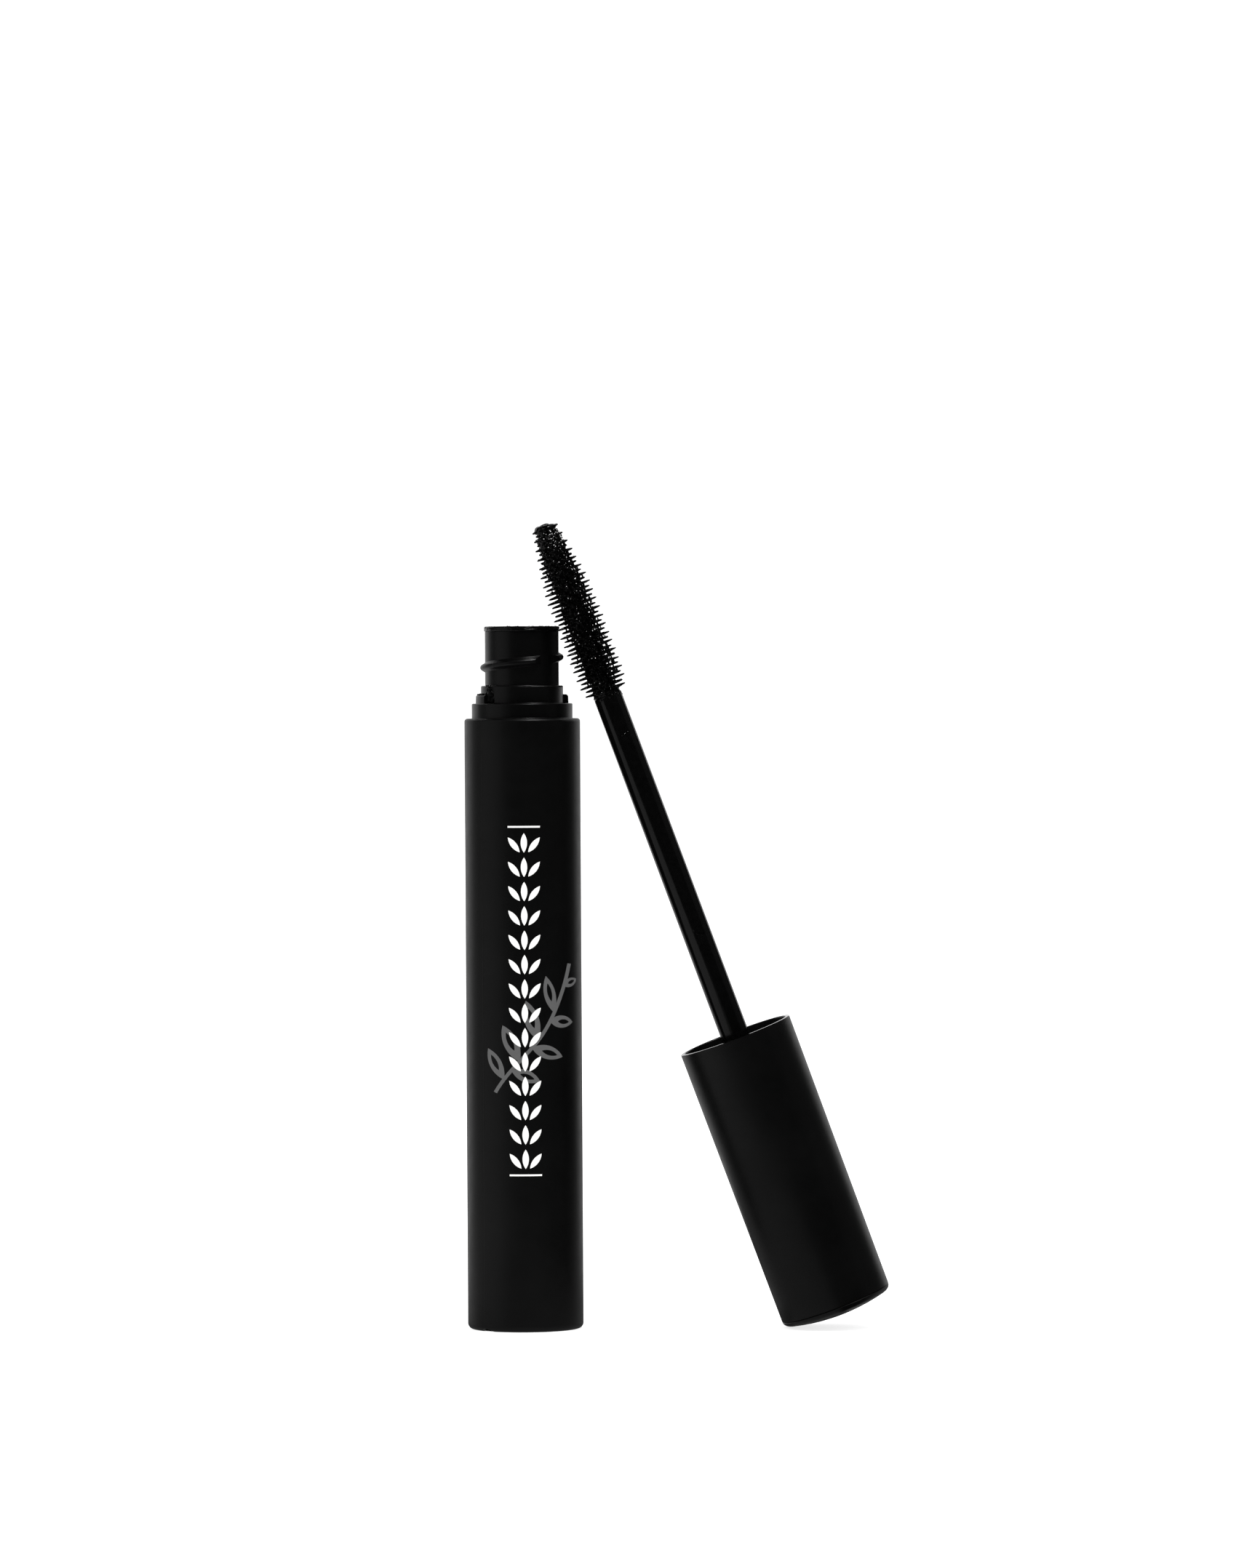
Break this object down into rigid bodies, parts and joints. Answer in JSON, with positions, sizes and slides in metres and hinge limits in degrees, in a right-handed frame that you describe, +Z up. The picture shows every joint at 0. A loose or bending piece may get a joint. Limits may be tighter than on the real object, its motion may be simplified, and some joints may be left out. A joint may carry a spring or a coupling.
{
  "type": "mascara tube",
  "caption": "Open mascara tube: a matte black threaded bottle with a wiper, and its tapered cap with stem and moulded bristle brush leaning on the neck.",
  "frame": {"origin": "centre of the bottle's base, on the surface that the bottle and the cap stand on", "axes": "+Z up along the bottle's axis, -Y the printed front, +X towards the leaning applicator"},
  "size_m": [0.0655, 0.0209, 0.1253],
  "materials": {
    "bottle_plastic": "soft matte black moulded plastic with a very fine texture",
    "wiper_plastic": "soft black polyethylene, satin, smeared with formula",
    "cap_plastic": "soft matte black moulded plastic with a very fine texture",
    "insert_plastic": "satin black moulded plastic",
    "liner_foam": "fine closed-cell foam, off-white",
    "stem_plastic": "semi-gloss black moulded plastic",
    "brush_elastomer": "black moulded elastomer, coated with formula",
    "formula": "wet black formula, glossy",
    "ink_white": "matte white printing ink",
    "ink_grey": "dark grey printing ink"
  },
  "bodies": {
    "bottle": {"bottle": "bottle_plastic", "wiper": "wiper_plastic", "print_white": "ink_white", "print_grey": "ink_grey"},
    "liner": {"cap_liner": "liner_foam"},
    "applicator": {"overcap": "cap_plastic", "inner_cap": "insert_plastic", "stem": "stem_plastic", "brush": "brush_elastomer"}
  },
  "joints": [
    {"name": "applicator_lift", "type": "slide", "parent": "bottle", "child": "liner", "axis": [0, 0, 1], "range_m": [0, 0.115]},
    {"name": "cap_turn", "type": "hinge", "parent": "liner", "child": "applicator", "pos_m": [0.04885, -0.002, 0.00202], "axis": [-0.3455, -0.0209, 0.9382], "continuous": true}
  ]
}
